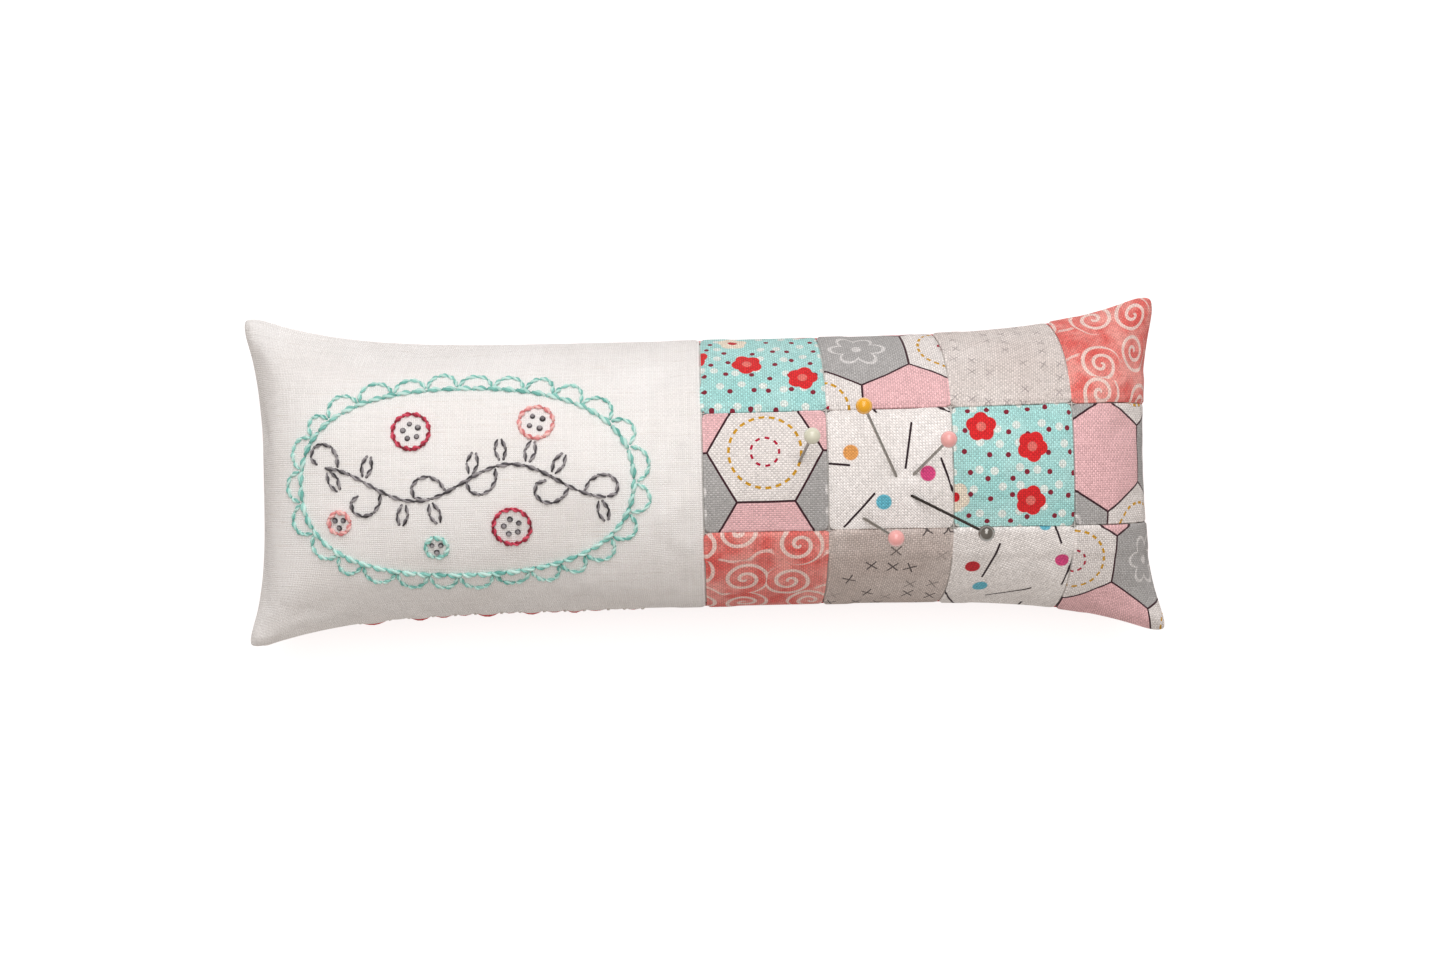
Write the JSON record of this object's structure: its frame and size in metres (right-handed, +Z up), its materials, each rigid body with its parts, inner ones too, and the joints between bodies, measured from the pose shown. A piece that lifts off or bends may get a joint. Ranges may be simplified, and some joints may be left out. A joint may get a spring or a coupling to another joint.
{
  "type": "pin cushion",
  "caption": "Long stuffed patchwork pin cushion with an embroidered linen panel, a pieced print block and ball-headed pins that slide in and out.",
  "frame": {"origin": "middle of the flat that the cushion rests on, under the middle of its bounding box", "axes": "+X along the cushion from the linen panel to the patchwork, +Y across it, +Z up, out of the front"},
  "size_m": [0.187, 0.067, 0.0562],
  "materials": {
    "natural_linen": "plain-woven off-white linen",
    "aqua_print": "printed cotton, aqua with dots",
    "hexagon_print": "printed cotton, grey, white and pink hexagons",
    "pale_taupe_print": "printed cotton, pale taupe with faint crosses",
    "coral_scroll_print": "printed cotton, coral with white scrolls",
    "confetti_print": "printed cotton, white with dots and short strokes",
    "taupe_cross_print": "printed cotton, taupe with small crosses",
    "coral_backing": "plain coral cotton",
    "polyester_filling": "loose fibre",
    "white_sewing_thread": "matt thread",
    "mint_floss": "stranded cotton with a slight sheen",
    "grey_floss": "stranded cotton with a slight sheen",
    "crimson_floss": "stranded cotton with a slight sheen",
    "rose_floss": "stranded cotton with a slight sheen",
    "steel_wire": "drawn wire",
    "yellow_bead": "glossy",
    "ivory_bead": "glossy",
    "pink_bead": "pearly gloss",
    "pearl_bead": "pearly gloss"
  },
  "bodies": {
    "cushion": {"linen_panel": "natural_linen", "patch_row1_col1": "aqua_print", "patch_row1_col2": "hexagon_print", "patch_row1_col3": "pale_taupe_print", "patch_row1_col4": "coral_scroll_print", "patch_row2_col1": "hexagon_print", "patch_row2_col2": "confetti_print", "patch_row2_col3": "aqua_print", "patch_row2_col4": "hexagon_print", "patch_row3_col1": "coral_scroll_print", "patch_row3_col2": "taupe_cross_print", "patch_row3_col3": "confetti_print", "patch_row3_col4": "hexagon_print", "back_panel": "coral_backing", "filling": "polyester_filling", "column_seam_threads": "white_sewing_thread", "row_seam_threads": "white_sewing_thread", "edge_seam_thread": "white_sewing_thread", "closing_thread": "white_sewing_thread", "oval_thread": "mint_floss", "scallop_thread": "mint_floss", "mint_blossom_thread": "mint_floss", "stem_thread": "grey_floss", "leaf_thread": "grey_floss", "knot_thread": "grey_floss", "crimson_blossom_thread": "crimson_floss", "rose_blossom_thread": "rose_floss"},
    "pin_yellow": {"pin_wire_yellow": "steel_wire", "pin_head_yellow": "yellow_bead"},
    "pin_ivory": {"pin_wire_ivory": "steel_wire", "pin_head_ivory": "ivory_bead"},
    "pin_pink_upper": {"pin_wire_pink_upper": "steel_wire", "pin_head_pink_upper": "pink_bead"},
    "pin_pink_lower": {"pin_wire_pink_lower": "steel_wire", "pin_head_pink_lower": "pink_bead"},
    "pin_pearl": {"pin_wire_pearl": "steel_wire", "pin_head_pearl": "pearl_bead"}
  },
  "joints": [
    {"name": "pin_yellow_slide", "type": "slide", "parent": "cushion", "child": "pin_yellow", "axis": [-0.3117, 0.6746, 0.6691], "range_m": [-0.01757, 0.01608]},
    {"name": "pin_ivory_slide", "type": "slide", "parent": "cushion", "child": "pin_ivory", "axis": [0.2504, 0.5, 0.829], "range_m": [-0.00769, 0.02679]},
    {"name": "pin_pink_upper_slide", "type": "slide", "parent": "cushion", "child": "pin_pink_upper", "axis": [0.4921, 0.4903, 0.7193], "range_m": [-0.01086, 0.02312]},
    {"name": "pin_pink_lower_slide", "type": "slide", "parent": "cushion", "child": "pin_pink_lower", "axis": [0.6586, -0.4326, 0.6157], "range_m": [-0.00614, 0.02792]},
    {"name": "pin_pearl_slide", "type": "slide", "parent": "cushion", "child": "pin_pearl", "axis": [0.8044, -0.4331, 0.4067], "range_m": [-0.0136, 0.01918]}
  ]
}
